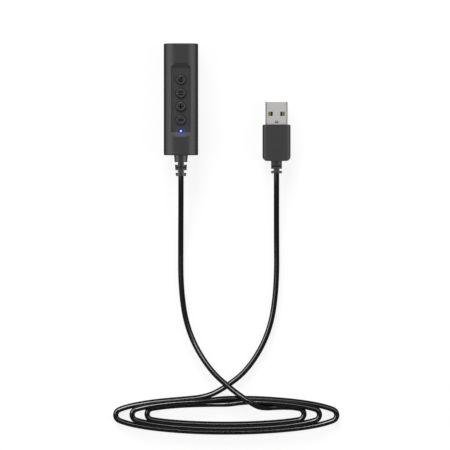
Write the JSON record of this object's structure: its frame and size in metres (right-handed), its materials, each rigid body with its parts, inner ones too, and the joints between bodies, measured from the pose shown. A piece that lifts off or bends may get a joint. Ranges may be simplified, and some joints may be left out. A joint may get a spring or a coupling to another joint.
{
  "type": "inline volume control",
  "caption": "Slim inline headset control with press buttons in a scooped panel, a headset socket, and a coiled lead to a USB plug.",
  "frame": {"origin": "under the middle of the housing, on the surface that the housing, the cord and the plug lie on", "axes": "+Y along the housing towards the headset socket, +Z out of the button panel, +X to the side that the plug lies on"},
  "size_m": [0.123, 0.2122, 0.014],
  "materials": {
    "housing": "fine matte",
    "buttons": "satin",
    "light_pipe": "clear, lit blue",
    "relief": "matte",
    "grip": "matte",
    "cord": "semi-gloss",
    "shell_metal": "satin nickel plate",
    "contact_metal": "gold flash",
    "screw_metal": "plain",
    "switch_metal": "plain",
    "plunger": "plain",
    "board": "green solder mask",
    "chip": "matte",
    "can_metal": "satin",
    "insulation": "plain",
    "socket_plastic": "plain",
    "tongue_plastic": "plain",
    "mould_plastic": "plain"
  },
  "bodies": {
    "control": {"front_shell": "housing", "back_shell": "housing", "push_switches": "switch_metal", "status_light_pipe": "light_pipe", "light_chip": "light_pipe", "circuit_board": "board", "audio_chip": "chip", "crystal": "can_metal", "board_capacitors": "can_metal", "lead_wires": "insulation", "board_screws": "screw_metal", "headset_socket": "socket_plastic", "socket_contacts": "contact_metal", "control_strain_relief": "relief", "usb_shell": "shell_metal", "usb_tongue": "tongue_plastic", "usb_contacts": "contact_metal", "plug_inner_mould": "mould_plastic", "plug_grip": "grip", "control_cord_lead": "cord", "cord_coil": "cord", "plug_cord_lead": "cord"},
    "mic_mute": {"mic_mute_button": "buttons", "mic_mute_plunger": "plunger"},
    "speaker_mute": {"speaker_mute_button": "buttons", "speaker_mute_plunger": "plunger"},
    "volume_up": {"volume_up_button": "buttons", "volume_up_plunger": "plunger"},
    "volume_down": {"volume_down_button": "buttons", "volume_down_plunger": "plunger"}
  },
  "joints": [
    {"name": "mic_mute_press", "type": "slide", "parent": "control", "child": "mic_mute", "axis": [0, 0, -1], "range_m": [0, 0.0005], "stiffness_N_per_m": 3000, "springref_m": -0.0001},
    {"name": "speaker_mute_press", "type": "slide", "parent": "control", "child": "speaker_mute", "axis": [0, 0, -1], "range_m": [0, 0.0005], "stiffness_N_per_m": 3000, "springref_m": -0.0001},
    {"name": "volume_up_press", "type": "slide", "parent": "control", "child": "volume_up", "axis": [0, 0, -1], "range_m": [0, 0.0005], "stiffness_N_per_m": 3000, "springref_m": -0.0001},
    {"name": "volume_down_press", "type": "slide", "parent": "control", "child": "volume_down", "axis": [0, 0, -1], "range_m": [0, 0.0005], "stiffness_N_per_m": 3000, "springref_m": -0.0001}
  ]
}
